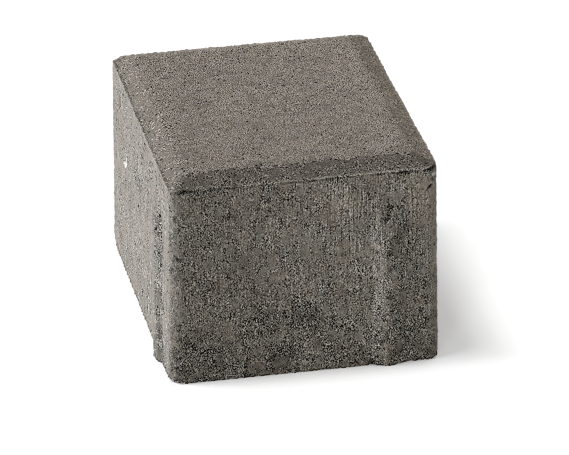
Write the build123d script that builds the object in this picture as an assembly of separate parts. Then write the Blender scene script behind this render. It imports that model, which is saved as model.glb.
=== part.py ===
from build123d import *
import os

# A concrete paving stone, pressed and vibrated in one mould: a chamfered walking face,
# sides that lean out a little towards the base, and one spacer nib on each side.
# The origin is the middle of the base, +Z is up and +Y runs along the longer side.

# The stone, in millimetres
stone_height = 80.0
face_width = 98.0  # along X, from arris to arris
face_length = 122.0  # along Y, from arris to arris
side_splay = 0.8  # how far the foot of each side stands out past its arris
corner_radius = 4.5  # of the four upright corners

# The chamfer round the walking face
chamfer_run = 7.3  # measured level, in from the arris
chamfer_drop = 3.3  # measured down from the walking face
face_corner_radius = 1.5  # where two chamfers meet at the walking face

# The spacer nibs, each a low ridge that runs up its side from the base
nib_foot_width = 13.0
nib_crest_width = 2.4
nib_crest_radius = 3.0
nib_proud = 2.0
nib_height = 64.0
nib_lead = 5.0  # height of the slope at the top, from the full ridge back to the side
nib_root = 2.0  # depth of the ridge's body inside the stone
nib_inset_short = 18.0  # from the right-hand arris end of a short side to the ridge's middle
nib_inset_long = 22.5  # the same on a long side

# Worked out from the sizes above
arris_height = stone_height - chamfer_drop
side_lean = side_splay / arris_height


def outline(width, length, radius, height):
    """The stone's outline seen from above, on a level plane at the given height."""
    return Pos(0, 0, height) * RectangleRounded(width, length, radius)


def moulded_block():
    """The block without its nibs: leaning sides up to the arris, then the chamfer up to the face."""
    foot_width = face_width + 2 * side_splay
    foot_length = face_length + 2 * side_splay
    flat_width = face_width - 2 * chamfer_run
    flat_length = face_length - 2 * chamfer_run
    sections = [
        outline(foot_width, foot_length, corner_radius, 0),
        outline(face_width, face_length, corner_radius, arris_height),
        outline(flat_width, flat_length, face_corner_radius, stone_height),
    ]
    return loft(sections, ruled=True)


def nib_section():
    """The ridge cut level, standing out towards -Y from a side at Y zero, with its crest rounded."""
    half_foot = nib_foot_width / 2
    half_crest = nib_crest_width / 2
    ridge = Polygon(
        (-half_foot, nib_root),
        (-half_foot, 0),
        (-half_crest, -nib_proud),
        (half_crest, -nib_proud),
        (half_foot, 0),
        (half_foot, nib_root),
        align=None,
    )
    crest_corners = ridge.vertices().sort_by(Axis.Y)[:2]
    return fillet(crest_corners, nib_crest_radius)


def nib():
    """One nib that leans with its side and slopes back into it at the top."""
    foot = nib_section()
    head = Pos(0, side_lean * nib_height, nib_height) * foot
    ridge = loft([foot, head], ruled=True)
    slope_top = Vector(0, side_lean * nib_height, nib_height)
    slope_foot_height = nib_height - nib_lead
    slope_foot = Vector(0, side_lean * slope_foot_height - nib_proud, slope_foot_height)
    across = Axis.X.direction
    slope = Plane(slope_top, x_dir=across, z_dir=(slope_foot - slope_top).cross(across))
    return split(ridge, bisect_by=slope, keep=Keep.BOTTOM)


def nib_pair(turn, side_length, side_distance, inset):
    """The nibs of two opposite sides, each near the right-hand end of its side seen from outside."""
    seat = Pos(side_length / 2 - inset, -side_distance, 0)
    near = Rot(0, 0, turn) * seat * nib()
    far = Rot(0, 0, turn + 180) * seat * nib()
    return near + far


def paving_stone():
    """The whole stone, one solid."""
    short_sides = nib_pair(0, face_width, face_length / 2 + side_splay, nib_inset_short)
    long_sides = nib_pair(90, face_length, face_width / 2 + side_splay, nib_inset_long)
    return moulded_block() + short_sides + long_sides


os.makedirs("parts", exist_ok=True)
stone = paving_stone()
export_step(stone, "parts/paving_stone.step")
print("volume", round(stone.volume), "mm3, box", stone.bounding_box())
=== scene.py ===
import bmesh
import bpy
import math
import numpy as np
from mathutils import Matrix, Vector, noise


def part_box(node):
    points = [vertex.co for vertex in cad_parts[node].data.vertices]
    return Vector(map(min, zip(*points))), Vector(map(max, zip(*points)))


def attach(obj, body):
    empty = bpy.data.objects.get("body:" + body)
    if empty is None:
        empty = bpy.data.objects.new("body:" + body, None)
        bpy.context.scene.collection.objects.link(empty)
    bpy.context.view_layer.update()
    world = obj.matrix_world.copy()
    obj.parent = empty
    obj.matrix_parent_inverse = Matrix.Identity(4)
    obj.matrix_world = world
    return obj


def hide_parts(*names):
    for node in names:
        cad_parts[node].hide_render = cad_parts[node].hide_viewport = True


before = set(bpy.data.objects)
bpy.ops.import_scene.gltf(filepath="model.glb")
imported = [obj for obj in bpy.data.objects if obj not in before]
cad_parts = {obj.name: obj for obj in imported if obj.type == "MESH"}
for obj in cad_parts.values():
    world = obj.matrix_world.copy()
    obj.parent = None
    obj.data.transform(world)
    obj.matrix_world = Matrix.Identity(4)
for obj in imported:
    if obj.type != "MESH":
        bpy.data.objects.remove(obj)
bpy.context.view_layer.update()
scene = bpy.context.scene


# The view: a long lens in front of the stone, a little to its left and above it.
# The angles, in degrees, and the distances, in metres, put the stone where the photo has it.
PHOTO_WIDTH_PX = 569
FOCAL_LENGTH_PX = 4909.8
SENSOR_WIDTH_MM = 36.0
YAW, PITCH, ROLL = math.radians(11.280), math.radians(25.753), math.radians(0.4974)
CAMERA_DISTANCE = 1.81580
AIM_RIGHT, AIM_UP = -0.0049038, 0.0098904
NEAREST_SEEN, FARTHEST_SEEN = 0.05, 50
stone_low, stone_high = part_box("paving_stone")
stone_middle = (stone_low + stone_high) / 2


def aim_camera():
    """Makes the camera look at the stone's middle, moved sideways and up by the aim."""
    forward = Vector((math.sin(YAW) * math.cos(PITCH), math.cos(YAW) * math.cos(PITCH), -math.sin(PITCH)))
    level = Vector((math.cos(YAW), -math.sin(YAW), 0))
    rise = Vector((math.sin(YAW) * math.sin(PITCH), math.cos(YAW) * math.sin(PITCH), math.cos(PITCH)))
    right = level * math.cos(ROLL) - rise * math.sin(ROLL)
    up = level * math.sin(ROLL) + rise * math.cos(ROLL)
    lens = bpy.data.cameras.new("camera")
    lens.sensor_width = SENSOR_WIDTH_MM
    lens.lens = FOCAL_LENGTH_PX / PHOTO_WIDTH_PX * SENSOR_WIDTH_MM
    lens.clip_start = NEAREST_SEEN
    lens.clip_end = FARTHEST_SEEN
    camera = bpy.data.objects.new("camera", lens)
    scene.collection.objects.link(camera)
    place = stone_middle - forward * CAMERA_DISTANCE - right * AIM_RIGHT - up * AIM_UP
    turn = Matrix((right, up, -forward)).transposed().to_4x4()
    camera.matrix_world = Matrix.Translation(place) @ turn
    scene.camera = camera


aim_camera()


# The white floor that the stone lies on: a matt white sheet on a light table, which lets a
# little light through from below.
FLOOR_HALF = 6.0
FLOOR_BELOW = 0.00005
FLOOR_WHITE = (0.86, 0.86, 0.86, 1)
TABLE_LIGHT = 0.13


def put(tree, kind, sockets=None, **settings):
    """Puts a node in a tree with its settings, and wires or sets its inputs by name or number."""
    node = tree.nodes.new(kind)
    for name, value in settings.items():
        setattr(node, name, value)
    for key, value in (sockets or {}).items():
        if isinstance(value, bpy.types.NodeSocket):
            tree.links.new(value, node.inputs[key])
        else:
            node.inputs[key].default_value = value
    return node


def new_material(name):
    """An empty node material, and its tree."""
    material = bpy.data.materials.new(name)
    material.use_nodes = True
    material.node_tree.nodes.clear()
    return material, material.node_tree


def floor_finish():
    material, tree = new_material("white_floor")
    sheet = put(tree, "ShaderNodeBsdfDiffuse", {"Color": FLOOR_WHITE})
    glow = put(tree, "ShaderNodeEmission", {"Strength": TABLE_LIGHT})
    both = put(tree, "ShaderNodeAddShader", {0: sheet.outputs[0], 1: glow.outputs[0]})
    put(tree, "ShaderNodeOutputMaterial", {"Surface": both.outputs[0]})
    return material


def lay_floor():
    mesh = bpy.data.meshes.new("floor")
    corners = [(-1, -1), (1, -1), (1, 1), (-1, 1)]
    z = stone_low.z - FLOOR_BELOW
    mesh.from_pydata([(x * FLOOR_HALF, y * FLOOR_HALF, z) for x, y in corners], [], [(0, 1, 2, 3)])
    mesh.materials.append(floor_finish())
    floor = bpy.data.objects.new("floor", mesh)
    scene.collection.objects.link(floor)


lay_floor()


# The light: soft lamps low on the left and behind, which rake the stone alone and leave its front
# to what the floor throws back, and four that light the floor alone, most of them high, so that
# the stone's shadow lies short and soft to its right.
LAMPS = {  # name: (degrees from the front round by the left, degrees up, degrees across, strength, tint)
    "left_lamp": (90, 12, 25, 5.25, (0.958, 1.0, 1.105)),
    "back_lamp": (180, 12, 25, 2.62, (1.02, 1.0, 0.97)),
    "far_right_lamp": (210, 12, 25, 1.25, (1.06, 1.0, 0.93)),
    "floor_lamp_high": (90, 76, 12, 1.09, (1.0, 1.0, 1.0)),
    "floor_lamp_low": (108, 66, 13, 1.0, (1.0, 1.0, 1.0)),
    "floor_lamp_right": (240, 85, 12, 0.59, (1.0, 1.0, 1.0)),
    "floor_lamp_front": (30, 35, 12, 0.33, (1.0, 1.0, 1.0)),
}
ROOM_WHITE = (1, 1, 1, 1)
ROOM_STRENGTH = 0.338
stone_light = bpy.data.collections.new("stone_light")
floor_light = bpy.data.collections.new("floor_light")
floor_light.objects.link(bpy.data.objects["floor"])


def hang_lamp(name, round_from_front, height, across, strength, tint):
    lamp = bpy.data.lights.new(name, "SUN")
    lamp.energy = strength
    lamp.color = tint
    lamp.angle = math.radians(across)
    a, h = math.radians(round_from_front), math.radians(height)
    towards = Vector((-math.sin(a) * math.cos(h), -math.cos(a) * math.cos(h), math.sin(h)))
    bulb = bpy.data.objects.new(name, lamp)
    scene.collection.objects.link(bulb)
    bulb.rotation_euler = towards.to_track_quat("Z", "Y").to_euler()
    bulb.location = towards
    bulb.light_linking.receiver_collection = floor_light if name.startswith("floor") else stone_light


for name, lamp_values in LAMPS.items():
    hang_lamp(name, *lamp_values)


def paint_room():
    """The camera sees the room white, and the stone is lit by it only dimly."""
    world = bpy.data.worlds.new("room")
    world.use_nodes = True
    tree = world.node_tree
    tree.nodes.clear()
    seen = put(tree, "ShaderNodeLightPath").outputs["Is Camera Ray"]
    strength = put(tree, "ShaderNodeMapRange", {"Value": seen, "To Min": ROOM_STRENGTH, "To Max": 1.0})
    glow = put(tree, "ShaderNodeBackground", {"Color": ROOM_WHITE, "Strength": strength.outputs[0]})
    put(tree, "ShaderNodeOutputWorld", {"Surface": glow.outputs[0]})
    scene.world = world


paint_room()
scene.view_settings.view_transform = "Standard"
scene.view_settings.look = "None"


# The stone: grey concrete, pressed and vibrated in one steel mould and pushed out while green.
# Its sides are open and sandy, scored upwards by the mould, its walking face is fine and close,
# and its edges crumble a little. It is one piece with its chamfer and its four nibs.
HALF_WIDTH, HALF_LENGTH = 0.049, 0.061  # of the arris
ARRIS_HEIGHT = 0.0767
CHAMFER_RUN, CHAMFER_DROP = 0.0073, 0.0033
SIDE_SPLAY = 0.0008
SIDE_LEAN = SIDE_SPLAY / ARRIS_HEIGHT  # how far a side leans out on its way down
SIDES = {  # name: (outward, to the right as seen from outside, from the middle to the arris)
    "front": ((0, -1), (1, 0), HALF_LENGTH),
    "back": ((0, 1), (-1, 0), HALF_LENGTH),
    "left": ((-1, 0), (0, -1), HALF_WIDTH),
    "right": ((1, 0), (0, 1), HALF_WIDTH),
}

# The block as it leaves the mould, in even faces
GRID_DEPTH = 8  # times the block is halved: about 0.5 mm between the points that the relief moves
GRID_FILL = 0.99
WELD_DISTANCE = 1e-6


def settle(thing):
    """Turns an object's modifiers into its plain mesh."""
    bpy.context.view_layer.update()
    seen = thing.evaluated_get(bpy.context.evaluated_depsgraph_get())
    mesh = bpy.data.meshes.new_from_object(seen)
    thing.modifiers.clear()
    old = thing.data
    thing.data = mesh
    bpy.data.meshes.remove(old)
    return thing


def smooth_block():
    """A copy of the stone's CAD shape, as one even closed mesh with its edges kept."""
    shape = bmesh.new()
    shape.from_mesh(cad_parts["paving_stone"].data)
    bmesh.ops.remove_doubles(shape, verts=shape.verts, dist=WELD_DISTANCE)
    mesh = bpy.data.meshes.new("block")
    shape.to_mesh(mesh)
    shape.free()
    block = bpy.data.objects.new("block", mesh)
    scene.collection.objects.link(block)
    even = block.modifiers.new("even", "REMESH")
    even.mode = "SHARP"
    even.octree_depth = GRID_DEPTH
    even.scale = GRID_FILL
    even.use_remove_disconnected = False
    return settle(block)


def on_side(points, side):
    """The points as a side sees them: right, up, and how far out from its leaning plane."""
    outward, right, half = SIDES[side]
    along = points[:, :2] @ np.array(right)
    plane = half + SIDE_LEAN * (ARRIS_HEIGHT - points[:, 2])
    return along, points[:, 2], points[:, :2] @ np.array(outward) - plane


def push_out(points, side, distance):
    points[:, :2] += np.outer(distance, SIDES[side][0])


# The nibs' heads, in metres
NIB_REACH = 0.0066  # half of a nib's foot, and a little more
NIB_SKIN = 0.0003  # how far inside its side's plane a point may lie and still be the nib's
NIB_OVERRUN = 0.001  # how far above the place where it has died out a nib's points are looked for
NIBS = {  # side: (middle, how high the ridge is whole, where it has died out)
    "front": (0.0310, 0.0550, 0.0665),
    "back": (0.0310, 0.0570, 0.0655),
    "left": (0.0385, 0.0600, 0.0645),
    "right": (0.0385, 0.0590, 0.0650),
}
SAMPLE_BAND = (0.028, 0.032)  # heights between which a nib's own section is read


def shape_nib_heads(points):
    """Lets each nib die out upwards in the slope that its mould gave it."""
    for side, (middle, whole, gone) in NIBS.items():
        right, up, out = on_side(points, side)
        off_middle = abs(right - middle)
        ridge = (off_middle < NIB_REACH) & (out > -NIB_SKIN)
        cut = ridge & (up > SAMPLE_BAND[0]) & (up < SAMPLE_BAND[1])
        order = np.argsort(off_middle[cut])
        section = np.interp(off_middle, off_middle[cut][order], out[cut][order])
        share = np.clip((gone - up) / (gone - whole), 0, 1)
        share = share * share * (3 - 2 * share)
        head = ridge & (up > whole) & (up < gone + NIB_OVERRUN)
        push_out(points, side, np.where(head, section * share - out, 0.0))


# The wear of the edges, in metres
FACE_EDGE_SOFTNESS = 0.0008
ABOVE_ARRIS = 0.0002  # higher than this over the arris, a point is on the chamfer or the face
FOOT_LOSS, FOOT_WEAR_HEIGHT = 0.00045, 0.0022
FOOT_WORN_TO = 3  # wear heights, above which the foot isn't touched
FOOT_LOSS_MEAN, FOOT_LOSS_MOST = 0.55, 1.6  # as shares of the loss
FOOT_CORNER_POWER = 6  # the higher, the more each side's foot wears straight in
FOOT_RIM_HEIGHT, FOOT_RIM_LIFT = 0.0004, 0.5
FOOT_CHIPS = [  # x, y, reach and loss
    (-0.0495, -0.0615, 0.0050, 0.0016),
    (-0.0495, 0.0615, 0.0090, 0.0011),
]
ARRIS_CHIPS = [  # x, y, reach and loss
    (-0.0485, 0.0605, 0.0036, 0.0012),
    (0.0480, -0.0600, 0.0035, 0.0005),
]
FOOT_CHIP_END, ARRIS_CHIP_END = 1.3, 1.2  # where a chip dies out, in reaches
FOOT_CRUMBS = (600, 0.8)  # grains to a metre, and how much the larger ones lead
CRUMB_STEP, CRUMB_ROUNDS = 2.0, 3  # each round of grains is this many times finer than the last


def crumbs_at(points, which, to_metre, lead):
    """Rough noise, about zero, at some of the points."""
    places = [Vector(points[i]) * to_metre for i in which]
    return np.array([noise.fractal(place, lead, CRUMB_STEP, CRUMB_ROUNDS) for place in places])


def inset_from_sides(points):
    """How far in from the nearest side of the arris each point lies."""
    return np.minimum(HALF_WIDTH - abs(points[:, 0]), HALF_LENGTH - abs(points[:, 1]))


def soften_face_edge(points):
    """Rolls the walking face softly into its chamfer."""
    past = (CHAMFER_RUN - inset_from_sides(points)) / FACE_EDGE_SOFTNESS
    sag = FACE_EDGE_SOFTNESS * (np.logaddexp(0, past) - np.maximum(past, 0))
    upper = points[:, 2] > ARRIS_HEIGHT + ABOVE_ARRIS
    points[:, 2] -= np.where(upper, sag * CHAMFER_DROP / CHAMFER_RUN, 0.0)


def wear_foot(points):
    """Crumbles the foot of the sides a little, and most at two corners."""
    worn = np.full(len(points), FOOT_LOSS)
    for x, y, reach, loss in FOOT_CHIPS:
        away = np.sqrt((points[:, 0] - x) ** 2 + (points[:, 1] - y) ** 2 + points[:, 2] ** 2)
        worn += loss * np.clip(FOOT_CHIP_END - away / reach, 0, 1)
    low = points[:, 2] < FOOT_WEAR_HEIGHT * FOOT_WORN_TO
    inset = inset_from_sides(points)
    rim = np.flatnonzero(low & (inset < FOOT_WEAR_HEIGHT))
    rough = crumbs_at(points, rim, *FOOT_CRUMBS)
    fade = np.exp(-points[rim, 2] / FOOT_WEAR_HEIGHT) * np.clip(1 - inset[rim] / FOOT_WEAR_HEIGHT, 0, 1)
    step = worn[rim] * np.clip(FOOT_LOSS_MEAN + rough, 0, FOOT_LOSS_MOST) * fade
    inward = -points[rim, :2] / np.array([HALF_WIDTH, HALF_LENGTH])
    inward = np.sign(inward) * abs(inward) ** FOOT_CORNER_POWER
    points[rim, :2] += inward * step[:, None]
    points[rim, 2] += np.where(points[rim, 2] < FOOT_RIM_HEIGHT, step * FOOT_RIM_LIFT, 0.0)


def chip_arris(points):
    """Wears the corners of the arris round, inwards and down."""
    for x, y, reach, loss in ARRIS_CHIPS:
        corner = np.array([x, y, ARRIS_HEIGHT])
        near = np.clip(ARRIS_CHIP_END - np.linalg.norm(points - corner, axis=1) / reach, 0, 1)
        inward = -corner / np.linalg.norm(corner)
        points += np.outer(near * near * loss, inward)


# The single marks of this stone, and painted shade on its nibs' flanks
MARKS = {  # name: (side, right, up, half width, half height, lean in degrees, depth in, stain (painted shade on the nibs' flanks), openness)
    # The left nib's flank faces away from the lamps: painted shade, where the concrete is also a little
    # more open
    "painted shade at the nib's foot": ("left", 44.0, 6.0, 4.0, 9.0, 0, 0.0, -0.45, 0.4),
    "painted shade on the nib's flank": ("left", 43.5, 21.0, 3.4, 13.0, 0, 0.0, -0.22, 0.3),
    "painted half shade on the nib's flank": ("left", 43.0, 38.0, 3.0, 12.0, 0, 0.0, -0.12, 0.3),
    "white chip": ("left", -31.4, 45.5, 4.2, 1.0, 22, 0.2, 0.9, 0.0),
    "white tail": ("left", -27.8, 48.2, 0.8, 2.1, 0, 0.1, 0.85, 0.0),
    "far crack": ("left", -43.5, 29.5, 0.8, 2.5, 25, 0.5, -0.8, 0.3),
    "middle voids": ("left", -3.5, 51.0, 6.5, 4.5, 0, 0.2, -0.25, 0.7),
    "lone pit": ("left", 5.1, 62.5, 1.4, 0.6, 0, 0.5, -0.8, 0.0),
    "dark shoulder": ("left", 43.8, 56.5, 2.6, 4.5, 0, 0.5, -0.50, 1.0),
    "shoulder void": ("left", 44.4, 52.0, 2.0, 1.8, 0, 0.5, -0.5, 1.0),
    "shoulder tail": ("left", 44.8, 45.0, 2.4, 6.0, 0, 0.3, -0.25, 0.8),
    "long void": ("front", 45.8, 69.2, 1.5, 0.40, 50, 0.6, -1.0, 0.0),
    "lone void": ("front", 43.5, 68.5, 0.45, 0.45, 0, 0.5, -0.9, 0.0),
    "void row start": ("front", -44.0, 75.9, 3.6, 0.7, 4, 0.5, -0.7, 0.5),
    "void row": ("front", -34.0, 76.0, 2.6, 0.6, 4, 0.4, -0.45, 0.6),
    "right end void": ("front", 46.8, 75.9, 2.6, 0.7, 2, 0.5, -0.9, 0.3),
    "right void": ("front", 36.4, 75.9, 1.6, 0.5, 2, 0.4, -0.9, 0.3),
    "rough by the nib": ("front", 36.2, 54.0, 3.2, 6.5, 0, 0.3, -0.40, 0.5),
    "heart by the nib": ("front", 37.1, 55.0, 0.9, 0.9, 0, 0.4, -0.5, 0.2),
    "slant over the nib": ("front", 30.6, 60.5, 1.5, 4.6, -22, 0.3, -0.35, 0.5),
    "slant's upper void": ("front", 31.9, 62.6, 0.6, 0.6, 0, 0.4, -0.5, 0.0),
    "slant's lower void": ("front", 29.6, 58.2, 0.9, 0.7, 0, 0.4, -0.5, 0.0),
    "streak on the nib": ("front", 26.4, 61.5, 1.0, 6.0, 0, -0.05, 0.22, -0.3),
    "right smooth patch": ("front", 43.5, 64.0, 4.5, 8.5, 0, 0.0, 0.10, -0.45),
    "top smooth patch": ("front", 20.0, 67.0, 7.0, 8.0, 0, 0.0, 0.0, -0.30),
    "smooth patch": ("front", 7.7, 61.5, 4.5, 3.0, 0, 0.0, 0.10, -0.45),
    "small patch": ("front", -21.4, 62.8, 3.2, 2.4, 0, 0.0, 0.12, -0.45),
    "left patch": ("front", -33.0, 63.5, 3.0, 3.0, 0, 0.0, 0.08, -0.40),
    "low patch": ("front", -28.5, 19.5, 5.0, 3.5, 0, 0.0, 0.16, -0.35),
    "dark pit row": ("front", -45.2, 49.6, 2.8, 0.6, 8, 0.4, -0.5, 0.6),
    "dark heart": ("front", -6.5, 8.5, 6.0, 4.5, 0, 0.3, -0.36, 0.6),
    "dark middle": ("front", 0.0, 23.0, 7.0, 5.0, 0, 0.2, -0.30, 0.5),
    "dark left": ("front", -14.5, 23.5, 5.5, 5.0, 10, 0.2, -0.22, 0.5),
    "dark left foot": ("front", -36.0, 10.0, 7.0, 5.5, -15, 0.2, -0.07, 0.4),
    "dark right foot": ("front", 40.0, 12.0, 6.0, 7.0, 0, 0.2, -0.22, 0.5),
    "dusky right": ("front", 40.5, 32.0, 5.0, 6.5, 0, 0.1, -0.26, 0.3),
    # The front nib's far flank faces away from the lamps: painted shade
    "painted shade on the nib's far flank": ("front", 35.4, 27.0, 1.6, 20.0, 0, 0.0, -0.12, 0.0),
    "foot notch": ("front", 24.4, 1.2, 1.3, 1.2, 0, 0.8, -0.7, 0.0),
    "pale stone": ("front", -24.1, 3.6, 1.4, 0.9, 0, -0.1, 0.5, -0.8),
    "pale stone on the nib": ("front", 26.2, 47.8, 0.9, 1.1, -20, -0.1, 0.6, -0.8),
    "pale stone high": ("front", 13.4, 38.6, 0.8, 0.8, 0, -0.1, 0.45, -0.8),
    "pale stone upper": ("front", 13.2, 66.4, 0.7, 0.7, 0, -0.1, 0.45, -0.8),
    "white dot": ("front", 47.5, 73.7, 0.7, 0.6, 0, 0.0, 1.3, 0.0),
    "pale stone low": ("front", -0.5, 4.2, 1.3, 0.8, 0, -0.1, 0.4, -0.8),
    "back arris void": ("back", 38.2, 75.8, 2.5, 0.8, 0, 0.6, -0.9, 0.3),
    "back arris void 2": ("back", 18.6, 75.8, 2.0, 0.7, 0, 0.5, -0.8, 0.3),
}
MARK_SCALE = 0.001  # the marks' sizes are in millimetres
MARK_SEARCH = 1.8  # how far out, in half sizes, a mark's points are looked for
MARK_SKIN = 0.003  # how far from its side's plane a mark's points may lie, in metres
MARK_CRUMBS = (500, 0.7)  # grains to a metre in its rim, and how much the larger ones lead
MARK_END, MARK_WAVER, MARK_FADE = 1.30, 0.60, 0.7  # of its rim, in half sizes


def press_marks(points):
    """Sinks and stains the single marks of this stone: voids, rough and smooth patches, chips, and paints
    shade on the nibs' flanks.
    """
    stain_and_shade = np.zeros(len(points))
    opened = np.zeros(len(points))
    for side, middle, height, half_wide, half_high, lean, depth, tint, open_change in MARKS.values():
        right, up, out = on_side(points, side)
        a = math.radians(lean)
        x = (right / MARK_SCALE - middle) * math.cos(a) + (up / MARK_SCALE - height) * math.sin(a)
        z = (up / MARK_SCALE - height) * math.cos(a) - (right / MARK_SCALE - middle) * math.sin(a)
        reach = np.hypot(x / half_wide, z / half_high)
        near = np.flatnonzero((reach < MARK_SEARCH) & (abs(out) < MARK_SKIN))
        waver = crumbs_at(points, near, *MARK_CRUMBS)
        share = np.clip((MARK_END - reach[near] - MARK_WAVER * waver) / MARK_FADE, 0, 1)
        stain_and_shade[near] += share * tint
        opened[near] += share * open_change
        sink = np.zeros(len(points))
        sink[near] = share * depth * MARK_SCALE
        push_out(points, side, -sink)
    return stain_and_shade, opened


def work_by_hand(block):
    """Shapes, wears and marks the block's points, and keeps where it is stained or given painted shade,
    and where it is opened.
    """
    mesh = block.data
    points = np.empty(len(mesh.vertices) * 3, dtype=np.float32)
    mesh.vertices.foreach_get("co", points)
    points = points.reshape(-1, 3)
    shape_nib_heads(points)
    soften_face_edge(points)
    wear_foot(points)
    chip_arris(points)
    for name, values in zip(("stain_and_shade", "opened"), press_marks(points)):
        mesh.attributes.new(name, "FLOAT", "POINT").data.foreach_set("value", values.astype(np.float32))
    mesh.vertices.foreach_set("co", points.ravel())
    mesh.update()


# The relief that the mould, the sand and the larger grains leave
EVEN_OUT_ROUNDS = 4  # how far the edges' roundness reaches, in grid steps
RELIEF_SIZES = {  # in metres, and the last three as shares
    "Wave size": 0.020,
    "Wave height": 0.00022,
    "Grain size": 0.0026,
    "Grain height": 0.00026,
    "Sand size": 0.0014,
    "Sand height": 0.00024,
    "Void size": 0.0042,
    "Void depth": 0.0007,
    "Patch size": 0.008,
    "Score width": 0.0013,
    "Score length": 0.022,
    "Score depth": 0.00018,
    "Edge loss": 0.00015,
    "Chip size": 0.0020,
    "Far edge loss": 0.00055,
    "Outline grain size": 0.0014,
    "Outline grain height": 0.0012,
    "Side growth": 0.00018,
    "Face share": 0.38,
    "Long side share": 0.50,
    "Arris calm": 0.85,
}
RELIEF_PATTERNS = {  # name: (the size that it takes, its detail, its own shift in metres)
    "patch": ("Patch size", 3.0, 0.0),
    "wave": ("Wave size", 2.0, 0.13),
    "crumble": ("Grain size", 3.0, 0.29),
    "chips": ("Chip size", 2.0, 0.19),
    "crumbs": ("Outline grain size", 1.0, 0.47),
}
GRAIN_SHIFT, SAND_SHIFT, VOID_SHIFT = 0.0, 0.37, 0.71
SCORE_DETAIL, SCORE_SHIFT = 2.0, 0.0
RELIEF_FADES = {  # name: (where it is none, where it is whole), and its two amounts if not 0 and 1
    "edge": (0.985, 0.80),
    "short side": (0.45, 0.80),
    "level": (0.45, 0.75),
    "below": (-0.45, -0.75),
    "patch": (0.36, 0.64, 0.45, 1.15),
    "void reach": (0.35, 1.0, 0.0, 0.34),
    "void here": (0.30, 0.36),
    "hole": (0.10, -0.06),
    "crumble": (0.35, 0.7, 0.15, 1.0),
    "chips": (0.42, 0.66),
    "far right": (0.0465, 0.0480),
    "far back": (0.0585, 0.0600),
    "side's end": (0.0455, 0.0475),
    "long side's end": (0.0570, 0.0590),
    "far chamfer": (0.0520, 0.0540),
    "left end": (-0.0455, -0.0475),
    "back end": (0.0560, 0.0580),
    "upper part": (0.060, 0.070),
    "by the arris": (0.0016, 0.0004),
}
LEAST_OPEN = 0.05
CELL_REACH = 0.45  # from a grain's middle to its rim, in grain sizes
GRAIN_DOME, GRAIN_CHANCE, GRAIN_LEVEL = 0.9, 0.55, -0.27  # how domed, how unlike, how deep set
SAND_CHANCE, SAND_LEVEL = 0.6, -0.3
FULL_SWING = 2.0  # noise about zero, times this, goes up to one each way
CHAMFER_SINK, CHAMFER_GAIN = 0.1, 0.6  # of the crumbs on the far chamfer
NOISE_ROUGHNESS = 0.55
STROKE_CORE = 0.3  # the share of a stroke's half width that has its whole strength


class Wiring:
    """Short ways to add nodes to one tree, of either kind, and to work with what they give."""

    def __init__(self, tree, place, fades):
        self.tree = tree
        self.place = place
        self.fades = fades

    def fold(self, operation, terms):
        total = terms[0]
        for term in terms[1:]:
            total = put(self.tree, "ShaderNodeMath", {0: total, 1: term}, operation=operation).outputs[0]
        return total

    def add(self, *terms):
        return self.fold("ADD", terms)

    def less(self, *terms):
        return self.fold("SUBTRACT", terms)

    def times(self, *terms):
        return self.fold("MULTIPLY", terms)

    def over(self, *terms):
        return self.fold("DIVIDE", terms)

    def least(self, *terms):
        return self.fold("MINIMUM", terms)

    def most(self, *terms):
        return self.fold("MAXIMUM", terms)

    def size(self, value):
        return put(self.tree, "ShaderNodeMath", {0: value}, operation="ABSOLUTE").outputs[0]

    def about_zero(self, noise_value):
        return self.less(noise_value, 0.5)

    def ramp(self, value, low, high, to_low=0.0, to_high=1.0):
        sockets = {"Value": value, "From Min": low, "From Max": high, "To Min": to_low, "To Max": to_high}
        return put(self.tree, "ShaderNodeMapRange", sockets, interpolation_type="SMOOTHSTEP").outputs[0]

    def fade(self, name, value):
        """How much there is of the named thing at a value, on its soft way between its limits."""
        return self.ramp(value, *self.fades[name])

    def moved(self, shift):
        """The place moved by a shift of its own, so that two patterns never match."""
        sockets = {0: self.place, 1: (shift, shift, shift)}
        return put(self.tree, "ShaderNodeVectorMath", sockets, operation="ADD").outputs[0]

    def noise(self, size, detail, shift):
        sockets = {"Scale": self.over(1.0, size), "Detail": detail, "Roughness": NOISE_ROUGHNESS}
        return put(self.tree, "ShaderNodeTexNoise", {"Vector": self.moved(shift), **sockets}).outputs[0]

    def cells(self, size, shift, tall=1.0):
        """Packed grains of one size: how far a point is from its grain's middle, and three chances."""
        place = self.moved(shift)
        if tall != 1.0:
            flatten = {0: place, 1: (1.0, 1.0, 1.0 / tall)}
            place = put(self.tree, "ShaderNodeVectorMath", flatten, operation="MULTIPLY").outputs[0]
        sockets = {"Vector": place, "Scale": self.over(1.0, size)}
        node = put(self.tree, "ShaderNodeTexVoronoi", sockets)
        chances = put(self.tree, "ShaderNodeSeparateXYZ", {0: node.outputs["Color"]}).outputs
        return node.outputs["Distance"], chances

    def drawn(self, width, length, detail, shift):
        """Noise that is longer upwards than sideways, as the mould draws a side."""
        sides, up = self.over(1.0, width), self.over(1.0, length)
        stretch = put(self.tree, "ShaderNodeCombineXYZ", {0: sides, 1: sides, 2: up}).outputs[0]
        sockets = {0: self.place, 1: stretch, 2: (shift, shift, shift)}
        place = put(self.tree, "ShaderNodeVectorMath", sockets, operation="MULTIPLY_ADD").outputs[0]
        sockets = {"Vector": place, "Scale": 1.0, "Detail": detail}
        return put(self.tree, "ShaderNodeTexNoise", sockets).outputs[0]

    def stroke(self, distance, middle, half):
        """A soft stroke along the places that lie the given distance off."""
        return self.ramp(self.size(self.less(distance, middle)), half, half * STROKE_CORE)


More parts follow.
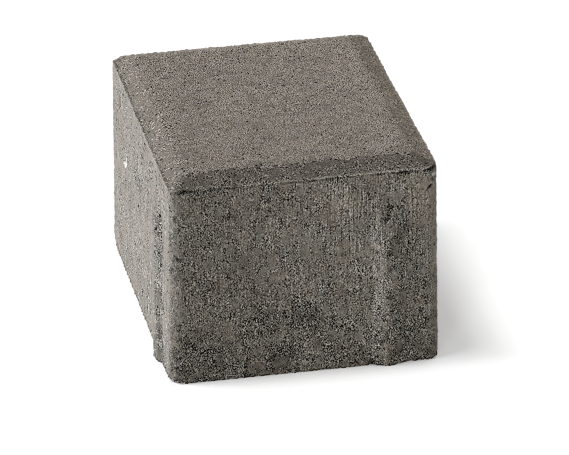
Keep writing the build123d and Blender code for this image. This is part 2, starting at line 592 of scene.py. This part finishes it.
def concrete_relief():
    """The tree that gives the smooth block its grains, voids, scores and worn edges."""
    tree = bpy.data.node_groups.new("concrete_relief", "GeometryNodeTree")
    interface = tree.interface
    interface.new_socket("Block", in_out="INPUT", socket_type="NodeSocketGeometry")
    for name, size in RELIEF_SIZES.items():
        interface.new_socket(name, in_out="INPUT", socket_type="NodeSocketFloat").default_value = size
    interface.new_socket("Finish", in_out="INPUT", socket_type="NodeSocketMaterial")
    interface.new_socket("Stone", in_out="OUTPUT", socket_type="NodeSocketGeometry")
    given = tree.nodes.new("NodeGroupInput").outputs
    w = Wiring(tree, put(tree, "GeometryNodeInputPosition").outputs[0], RELIEF_FADES)

    def pattern(name):
        size_name, detail, shift = RELIEF_PATTERNS[name]
        return w.noise(given[size_name], detail, shift)

    # Which way each point faces, and how open the concrete is there
    normal = put(tree, "GeometryNodeInputNormal").outputs[0]
    sockets = {"Value": normal, "Iterations": EVEN_OUT_ROUNDS}
    evened = put(tree, "GeometryNodeBlurAttribute", sockets, data_type="FLOAT_VECTOR").outputs["Value"]
    sharpness = put(tree, "ShaderNodeVectorMath", {0: evened}, operation="LENGTH").outputs["Value"]
    upward = put(tree, "ShaderNodeSeparateXYZ", {0: normal}).outputs["Z"]
    backward = put(tree, "ShaderNodeSeparateXYZ", {0: evened}).outputs["Y"]
    edge = w.fade("edge", sharpness)
    short_side = w.fade("short side", w.size(backward))
    level = w.fade("level", upward)
    below = w.fade("below", upward)
    side = w.less(1.0, level, below)
    change = put(tree, "GeometryNodeInputNamedAttribute", {"Name": "opened"}, data_type="FLOAT").outputs[0]
    openness = w.most(w.add(w.fade("patch", pattern("patch")), change), LEAST_OPEN)
    long_share = given["Long side share"]
    side_share = w.add(long_share, w.times(short_side, w.less(1.0, long_share)))
    rough = w.times(openness, w.add(w.times(side, side_share), w.times(level, given["Face share"])))

    # Waves, grains, sand, voids and scores
    wave = w.times(w.about_zero(pattern("wave")), given["Wave height"], FULL_SWING)
    grain_far, grain_chance = w.cells(given["Grain size"], GRAIN_SHIFT)
    dome = w.times(w.less(CELL_REACH, grain_far), GRAIN_DOME)
    dome = w.add(dome, w.times(grain_chance[0], GRAIN_CHANCE), GRAIN_LEVEL)
    grain = w.times(dome, given["Grain height"], rough)
    sand_far, sand_chance = w.cells(given["Sand size"], SAND_SHIFT)
    grit = w.add(w.less(CELL_REACH, sand_far), w.times(sand_chance[0], SAND_CHANCE), SAND_LEVEL)
    sand = w.times(grit, given["Sand height"], rough)
    void_far, void_chance = w.cells(given["Void size"], VOID_SHIFT)
    hole = w.fade("hole", w.less(void_far, w.fade("void reach", void_chance[1])))
    void = w.times(hole, w.fade("void here", void_chance[1]), side, rough)
    scored = w.drawn(given["Score width"], given["Score length"], SCORE_DETAIL, SCORE_SHIFT)
    score = w.times(w.about_zero(scored), given["Score depth"], side, FULL_SWING)

    # The crumbled outline at the far edges, the sides that stand a little proud, and lost edges
    right, back, above = put(tree, "ShaderNodeSeparateXYZ", {0: w.place}).outputs
    far_edge = w.most(w.fade("far right", right), w.fade("far back", back))
    side_ends = w.times(w.fade("side's end", w.size(right)), w.fade("long side's end", w.size(back)))
    far_chamfer = w.times(level, w.fade("far chamfer", back))
    outline = w.most(w.times(far_edge, edge), w.times(side, side_ends), far_chamfer)
    crumbs = w.less(w.about_zero(pattern("crumbs")), w.times(far_chamfer, CHAMFER_SINK))
    crumbs = w.times(outline, crumbs, w.add(1.0, w.times(far_chamfer, CHAMFER_GAIN)))
    bumps = w.times(crumbs, given["Outline grain height"])
    far_left = w.times(w.fade("left end", right), w.fade("back end", back), w.fade("upper part", above))
    growth = w.times(side, w.most(w.fade("side's end", right), far_left), given["Side growth"])
    crumbled = w.times(w.fade("crumble", pattern("crumble")), given["Edge loss"])
    chipped = w.times(far_edge, w.fade("chips", pattern("chips")), given["Far edge loss"])
    loss = w.times(edge, w.add(crumbled, chipped))

    # All of it together, calmer along the arris and none on the base
    raised = w.add(wave, grain, sand, score, bumps, growth)
    height = w.less(raised, w.times(void, given["Void depth"]), loss)
    by_arris = w.fade("by the arris", w.size(w.less(above, ARRIS_HEIGHT)))
    calm = w.less(1.0, w.times(by_arris, w.less(1.0, far_edge), given["Arris calm"]))
    height = w.times(height, w.less(1.0, below), calm)
    outward = put(tree, "ShaderNodeVectorMath", {0: evened}, operation="NORMALIZE").outputs[0]
    move = put(tree, "ShaderNodeVectorMath", {0: outward, "Scale": height}, operation="SCALE").outputs[0]
    moved = put(tree, "GeometryNodeSetPosition", {"Geometry": given["Block"], "Offset": move}).outputs[0]
    for name, value in {"walking_face": level, "hollow": void, "openness": openness}.items():
        sockets = {"Geometry": moved, "Name": name, "Value": value}
        store = put(tree, "GeometryNodeStoreNamedAttribute", sockets, data_type="FLOAT", domain="POINT")
        moved = store.outputs[0]
    whole = put(tree, "GeometryNodeRealizeInstances", {0: moved}).outputs[0]
    sockets = {"Geometry": whole, "Material": given["Finish"]}
    finished = put(tree, "GeometryNodeSetMaterial", sockets).outputs[0]
    put(tree, "NodeGroupOutput", {"Stone": finished})
    return tree


# The colours of the concrete, and its finest grain
SPECK_COLOUR = (0.0098, 0.0092, 0.0078, 1)
PASTE_COLOUR = (0.162, 0.146, 0.1245, 1)
PALE_COLOUR = (0.50, 0.46, 0.405, 1)
WHITE_COLOUR = (0.385, 0.375, 0.350, 1)
PASTE_PLACE = 0.33  # where the paste's colour lies between the speck's and the pale grain's
TONE_POWER = 2.2  # from the tone that the eye sees to the light that the paste gives back
SMOOTH_TINT = (1.022, 1.0, 0.962, 1)
OPEN_TINT = (0.985, 1.0, 1.005, 1)
FACE_TINT = (1.037, 1.0, 0.966, 1)
NO_TINT = (1, 1, 1, 1)
FACE_EVENNESS, FACE_OPENNESS = 0.6, 0.3  # of the tint on the walking face
HOLLOW_DARKNESS = 0.35
STONE_ROUGHNESS = 0.88
STONE_SHINE = 0.05
BUMP_STRENGTH, BUMP_DEPTH = 0.6, 0.00035
DUST = (0.00034, 0.00050, 0.0, 0.11)  # width, height, detail, shift: the finest grains
STREAK = (0.00034, 0.0095, 1.0, 0.37)  # the same of the scores that the mould leaves on a side
LUMP_SIZE, LUMP_SHIFT, LUMP_TALL = 0.0050, 0.59, 1.5  # smooth bare faces of grains and of paste
LUMP_CHANCE, LUMP_WAVER, LUMP_REACH = 0.16, 0.30, 0.20  # of a lump's rim, in lump sizes
FINISH_PATTERNS = {  # name: (size in metres, its detail, its own shift)
    "medium": (0.0015, 0.0, 0.23),
    "broad": (0.013, 3.0, 0.41),
    "flock": (0.0030, 1.0, 0.53),
    "lump's rim": (0.0015, 1.0, 0.97),
    "dark speck": (0.0011, 0.0, 0.67),
    "pale speck": (0.0011, 0.0, 0.91),
    "gaps": (0.0025, 1.0, 0.83),
    "wobble": (0.0011, 1.0, 0.77),
}
GRAIN_BY_PLACE = {  # how much of each there is on the walking face, the short sides and the long sides
    "contrast": (0.185, 0.056, 0.048),
    "flock": (0.60, 0.25, 0.70),
    "dust": (36.0, 36.0, 36.0),
    "medium": (1.0, 1.0, 1.4),
    "streak": (0.0, 15.0, 24.0),
    "broad": (0.25, 0.45, 0.25),
    "dark speck": (1.3, 0.35, 0.75),
    "pale speck": (0.60, 0.25, 0.10),
    "shade": (-0.035, -0.03, 0.018),
    "clump": (0.0, 0.045, 0.01),
    "lump": (0.35, 0.62, 0.45),
}
FINISH_FADES = {  # name: (where it is none, where it is whole), and its two amounts if not 0 and 1
    "short side": (0.0035, 0.0005),
    "chamfer": (0.0085, 0.0068),
    "corner across": (0.0045, 0.0020),
    "corner along": (0.0080, 0.0040),
    "low": (0.042, 0.004),
    "long side low": (0.034, 0.010),
    "high": (0.032, 0.052),
    "scored from": (0.002, 0.012),
    "scored to": (0.046, 0.036),
    "flock": (0.36, 0.64, -1.0, 1.0),
    "lump": (0.05, -0.03),
    "chamfer's calm": (-0.038, -0.043, 0.60, 0.74),
    "long chamfer": (0.038, 0.043),
    "dark speck": (0.70, 0.78),
    "pale speck": (0.73, 0.80),
    "whole lip": (0.021, 0.026),
    "groove's gaps": (0.42, 0.58),
    "lip's gaps": (0.65, 0.48),
    "lip's strength": (-0.045, 0.010, 0.4, 1.0),
    "lip's end": (0.0005, 0.002),
    "seam's top": (0.0004, -0.0001),
    "seam's gaps": (0.35, 0.6, 0.35, 1.0),
    "left half": (0.01, -0.01),
    "painted light band": (0.0035, 0.0005),
    "slope": (-0.048, 0.020, -0.075, 0.045),
    "edge glow": (0.012, 0.040),
    "far glow": (0.0, 0.09),
    "rim's end": (0.006, 0.009),
    "rim's gaps": (0.35, 0.55, 0.4, 1.0),
    "right rim": (0.0470, 0.0485),
    "unstained": (0.5, 0.2),
    "open": (0.40, 1.15),
    "white": (0.65, 0.9),
}
# The strokes are painted light and shade: shade in the groove and along the seam, highlights on the lip
# and the back rim
STROKES = {  # name: (how far off it runs, its half width), in metres
    "groove_shade": (0.0008, 0.0006),
    "lip_highlight": (0.0, 0.0004),
    "seam_shadow": (0.0006, 0.00055),
    "back rim highlight": (0.0541, 0.0014),
}
WOBBLE = 0.0016  # of what runs along an edge, in metres
ARRIS_WOBBLE, RIM_WOBBLE = 0.4, 0.5  # shares of it
SHADE_UNDER_HIGHLIGHT = 0.8
CLOSED_CONTRAST, OPEN_CONTRAST = 0.55, 0.5  # where the concrete is closed, and more as it opens
LOW_STREAK, SCORED_STREAK = -8.0, 12.0  # added to the streaks of the short sides
GRAIN_CHANGES = {  # how much more of a feature there is at a place, as a share, or less below zero
    "corner contrast": -0.5,
    "low contrast": 0.30,
    "long side low contrast": 0.25,
    "scored dust": -0.12,
    "low medium": 1.5,
    "low clump": 1.6,
    "chamfer speck": -0.6,
    "flock speck": 0.6,
}
# The groove, lip, seam, light band, glow and back rim tones below are painted light and shade, and the
# stain tone holds painted shade on the nibs' flanks as well as real stains
TONES = {  # how much lighter each feature is than the paste, as a share
    "low": -0.14,
    "long side low": -0.03,
    "lump": 0.07,
    "groove_shade": -0.28,
    "lip_highlight": 0.34,
    "seam_shadow": -0.30,
    "painted light band": 0.06,
    "long chamfer": 0.028,
    "edge glow": 0.030,
    "far glow": 0.050,
    "back rim highlight": 0.28,
    "right rim": 0.10,
    "stain_and_shade": 0.55,
}
LONG_SIDE_GLARE, GLARE_CUT = 1.18, 0.50  # above the first the flecks of the long sides are duller
MIX_FIRST, MIX_SECOND, MIX_RESULT = 6, 7, 2  # the colour sockets of a mix node


def concrete_finish():
    """The colour and the fine grain of the concrete, with painted light and shade along its edges, on its
    walking face and on its nibs' flanks, on the stone's own coordinates.
    """
    material, tree = new_material("concrete")
    w = Wiring(tree, put(tree, "ShaderNodeTexCoord").outputs["Object"], FINISH_FADES)

    def mark(name):
        return put(tree, "ShaderNodeAttribute", attribute_name=name).outputs["Fac"]

    def mix(share, first, second, blend="MIX"):
        sockets = {"Factor": share, MIX_FIRST: first, MIX_SECOND: second}
        return put(tree, "ShaderNodeMix", sockets, data_type="RGBA", blend_type=blend).outputs[MIX_RESULT]

    def pattern(name):
        return w.noise(*FINISH_PATTERNS[name])

    def by_place(name):
        on_face, on_short, on_long = GRAIN_BY_PLACE[name]
        return w.add(w.times(face, on_face), w.times(short_side, on_short), w.times(long_side, on_long))

    def change(name, mask):
        return w.times(mask, GRAIN_CHANGES[name])

    def tone_of(name, *masks):
        return w.times(*masks, TONES[name])

    # Where on the stone a point is
    openness = mark("openness")
    face = mark("walking_face")
    stain_and_shade = mark("stain_and_shade")
    side = w.less(1.0, face)
    x, y, height = put(tree, "ShaderNodeSeparateXYZ", {0: w.place}).outputs
    inset_x = w.less(HALF_WIDTH, w.size(x))
    inset_y = w.less(HALF_LENGTH, w.size(y))
    below_arris = w.less(ARRIS_HEIGHT, height)
    short_side = w.times(side, w.fade("short side", inset_y))
    long_side = w.less(side, short_side)
    chamfer = w.times(face, w.fade("chamfer", w.least(inset_x, inset_y)))
    corner = w.times(side, w.fade("corner across", inset_x), w.fade("corner along", inset_y))
    low = w.times(w.fade("low", height), short_side)
    long_low = w.times(w.fade("long side low", height), long_side)
    high = w.times(w.fade("high", height), short_side)
    scored = w.times(w.fade("scored from", x), w.fade("scored to", x), high)

    # The grain, and how strong it is
    dust = w.about_zero(w.drawn(*DUST))
    streak = w.about_zero(w.drawn(*STREAK))
    medium = w.about_zero(pattern("medium"))
    broad = w.about_zero(pattern("broad"))
    flock = w.fade("flock", pattern("flock"))
    lump_far, lump_chance = w.cells(LUMP_SIZE, LUMP_SHIFT, LUMP_TALL)
    lump_waver = w.times(w.about_zero(pattern("lump's rim")), LUMP_WAVER)
    lump_edge = w.add(w.times(lump_chance[0], LUMP_CHANCE), lump_waver, LUMP_REACH)
    lump = w.fade("lump", w.less(lump_far, lump_edge))
    chamfer_calm = w.times(chamfer, w.fade("chamfer's calm", x))
    contrast = w.times(
        by_place("contrast"),
        w.add(1.0, w.times(flock, by_place("flock"))),
        w.add(CLOSED_CONTRAST, w.times(openness, OPEN_CONTRAST)),
        w.add(w.less(1.0, chamfer_calm), change("corner contrast", corner)),
        w.add(1.0, change("low contrast", low), change("long side low contrast", long_low)),
        w.less(1.0, w.times(lump, by_place("lump"))),
    )
    streak_share = w.add(by_place("streak"), w.times(low, LOW_STREAK), w.times(scored, SCORED_STREAK))
    grain = w.add(
        w.times(dust, by_place("dust"), w.add(1.0, change("scored dust", scored))),
        w.times(medium, by_place("medium"), w.add(1.0, change("low medium", low))),
        w.times(streak, streak_share),
    )
    dark_speck = w.fade("dark speck", pattern("dark speck"))
    pale_speck = w.fade("pale speck", pattern("pale speck"))
    flock_speck = w.times(flock, long_side, GRAIN_CHANGES["flock speck"])
    speck_depth = w.add(1.0, change("chamfer speck", chamfer), flock_speck)

    # What runs along the edges: a painted highlight on the lip of the short arrises with painted shade in
    # a groove under it, a painted shadow along the seam of the left one, a painted band of light under the
    # long ones, a painted highlight on the back rim, and a lighter rim at the right
    gaps = pattern("gaps")
    wobble = w.times(w.about_zero(pattern("wobble")), WOBBLE)
    off_arris = w.add(below_arris, w.times(wobble, ARRIS_WOBBLE))
    # A painted highlight on the lip of the short arrises, and painted shade in a groove under it
    whole_lip_highlight = w.fade("whole lip", x)
    groove_shade_here = w.most(w.fade("groove's gaps", gaps), w.times(whole_lip_highlight, SHADE_UNDER_HIGHLIGHT))
    groove_shade = w.times(w.stroke(off_arris, *STROKES["groove_shade"]), groove_shade_here, short_side)
    along_lip_highlight = w.times(w.fade("lip's strength", x), w.fade("lip's end", inset_x))
    lip_highlight_here = w.most(w.fade("lip's gaps", gaps), whole_lip_highlight)
    lip_highlight = w.times(w.stroke(off_arris, *STROKES["lip_highlight"]), lip_highlight_here, along_lip_highlight)
    # A painted shadow along the mould seam of the left arris
    seam_shadow = w.times(
        w.stroke(w.add(inset_x, wobble), *STROKES["seam_shadow"]),
        w.fade("seam's top", below_arris),
        w.fade("seam's gaps", gaps),
        w.fade("left half", x),
    )
    # Painted light: a lighter band just under the long arrises
    painted_light_band = w.times(w.fade("painted light band", below_arris), long_side)
    # A painted highlight along the back rim of the walking face
    back_rim_highlight = w.times(
        w.stroke(w.add(y, w.times(wobble, RIM_WOBBLE)), *STROKES["back rim highlight"]),
        face,
        w.fade("rim's end", inset_x),
        w.fade("rim's gaps", gaps),
    )
    right_rim = w.times(w.fade("right rim", w.add(x, wobble)), face)

    # Slow changes: the short sides lighten to the right, and painted light lightens the walking face to
    # its edges and far corner
    slope = w.times(w.fade("slope", x), short_side)
    flat = w.less(1.0, chamfer)
    edge_glow = w.times(w.fade("edge glow", w.size(x)), face, flat)
    far_glow = w.times(w.fade("far glow", w.add(x, y)), face, flat)

    # The tone of it all
    value = w.add(
        1.0,
        w.times(grain, contrast),
        w.times(broad, by_place("broad")),
        tone_of("low", low),
        tone_of("long side low", long_low),
        slope,
        by_place("shade"),
        w.times(flock, by_place("clump"), w.add(1.0, change("low clump", low)), -1.0),
        tone_of("lump", lump, by_place("lump")),
        w.times(dark_speck, by_place("dark speck"), speck_depth, -1.0),
        w.times(pale_speck, by_place("pale speck")),
        tone_of("groove_shade", groove_shade),
        tone_of("lip_highlight", lip_highlight),
        tone_of("seam_shadow", seam_shadow),
        tone_of("painted light band", painted_light_band),
        tone_of("long chamfer", chamfer, w.fade("long chamfer", w.size(x))),
        tone_of("edge glow", edge_glow),
        tone_of("far glow", far_glow),
        tone_of("back rim highlight", back_rim_highlight),
        tone_of("right rim", right_rim),
        # real stains, and painted shade on the nibs' flanks
        tone_of("stain_and_shade", stain_and_shade),
    )
    too_bright = w.most(w.less(value, LONG_SIDE_GLARE), 0.0)
    glare = w.times(too_bright, long_side, w.fade("unstained", stain_and_shade), GLARE_CUT)
    value = w.most(w.less(value, glare), 0.0)
    tone = put(tree, "ShaderNodeMath", {0: value, 1: TONE_POWER}, operation="POWER").outputs[0]

    # Its colour, warmer where it is smooth and on the walking face
    ramp = put(tree, "ShaderNodeValToRGB", {0: w.times(tone, PASTE_PLACE)})
    stops = ramp.color_ramp.elements
    stops[0].color = SPECK_COLOUR
    stops[1].color = PALE_COLOUR
    stops.new(PASTE_PLACE).color = PASTE_COLOUR
    open_share = w.times(w.fade("open", openness), w.less(1.0, w.times(face, FACE_EVENNESS)))
    open_share = w.add(open_share, w.times(face, FACE_OPENNESS))
    open_tint = mix(open_share, SMOOTH_TINT, OPEN_TINT)
    face_tint = mix(face, NO_TINT, FACE_TINT)
    colour = mix(1.0, ramp.outputs[0], open_tint, "MULTIPLY")
    colour = mix(1.0, colour, face_tint, "MULTIPLY")
    colour = mix(w.times(mark("hollow"), HOLLOW_DARKNESS), colour, SPECK_COLOUR)
    colour = mix(w.fade("white", stain_and_shade), colour, WHITE_COLOUR)

    sockets = {"Height": w.add(dust, medium), "Strength": BUMP_STRENGTH, "Distance": BUMP_DEPTH}
    bump = put(tree, "ShaderNodeBump", sockets)
    sockets = {"Base Color": colour, "Roughness": STONE_ROUGHNESS, "Normal": bump.outputs[0]}
    sockets["Specular IOR Level"] = STONE_SHINE
    shader = put(tree, "ShaderNodeBsdfPrincipled", sockets)
    put(tree, "ShaderNodeOutputMaterial", {"Surface": shader.outputs[0]})
    return material


# The whole stone
TRIANGLE_LIMIT = 190000
SHARP_EDGE = math.radians(50)


def mould_stone():
    """The stone as one plain mesh: block, hand work and relief, thinned, with its sharp edges."""
    block = smooth_block()
    work_by_hand(block)
    relief = block.modifiers.new("relief", "NODES")
    relief.node_group = concrete_relief()
    for item in relief.node_group.interface.items_tree:
        if item.in_out == "INPUT" and item.name in RELIEF_SIZES:
            relief[item.identifier] = RELIEF_SIZES[item.name]
        if item.name == "Finish":
            relief[item.identifier] = concrete_finish()
    stone = settle(block)
    stone.name = stone.data.name = "stone"
    triangles = sum(len(f.vertices) - 2 for f in stone.data.polygons)
    thin = stone.modifiers.new("thin", "DECIMATE")
    thin.ratio = min(1.0, TRIANGLE_LIMIT / triangles)
    settle(stone)
    stone.data.shade_smooth()
    stone.data.set_sharp_from_angle(angle=SHARP_EDGE)
    return stone


stone = mould_stone()
stone_light.objects.link(stone)
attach(stone, "root")
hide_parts("paving_stone")


# The picture's finish: the photo was made small and sharpened, which gives the grain its bite.
# The outline, where what is seen jumps back by more than a step, stays as it is, and nothing
# turns much darker than it was.
SHARPENING = 0.20
OUTLINE_STEP = 0.004
OUTLINE_MARGIN_PX = 1
DARKEST_SHARE = (0.28, 0.28, 0.28, 1)


def sharpen_picture():
    scene.use_nodes = True
    tree = scene.node_tree
    tree.nodes.clear()
    scene.view_layers[0].use_pass_z = True
    seen = put(tree, "CompositorNodeRLayers").outputs
    jump = put(tree, "CompositorNodeFilter", {"Image": seen["Depth"]}, filter_type="LAPLACE").outputs[0]
    size = put(tree, "CompositorNodeMath", {0: jump}, operation="ABSOLUTE").outputs[0]
    within = put(tree, "CompositorNodeMath", {0: size, 1: OUTLINE_STEP}, operation="LESS_THAN").outputs[0]
    inner = put(tree, "CompositorNodeDilateErode", {0: within}, distance=-OUTLINE_MARGIN_PX).outputs[0]
    share = put(tree, "CompositorNodeMath", {0: inner, 1: SHARPENING}, operation="MULTIPLY").outputs[0]
    sharpened = {"Fac": share, "Image": seen["Image"]}
    crisp = put(tree, "CompositorNodeFilter", sharpened, filter_type="SHARPEN_DIAMOND").outputs[0]
    dimmed = {0: 1.0, 1: seen["Image"], 2: DARKEST_SHARE}
    darkest = put(tree, "CompositorNodeMixRGB", dimmed, blend_type="MULTIPLY").outputs[0]
    both = {0: 1.0, 1: crisp, 2: darkest}
    kept = put(tree, "CompositorNodeMixRGB", both, blend_type="LIGHTEN").outputs[0]
    put(tree, "CompositorNodeComposite", {"Image": kept})


sharpen_picture()
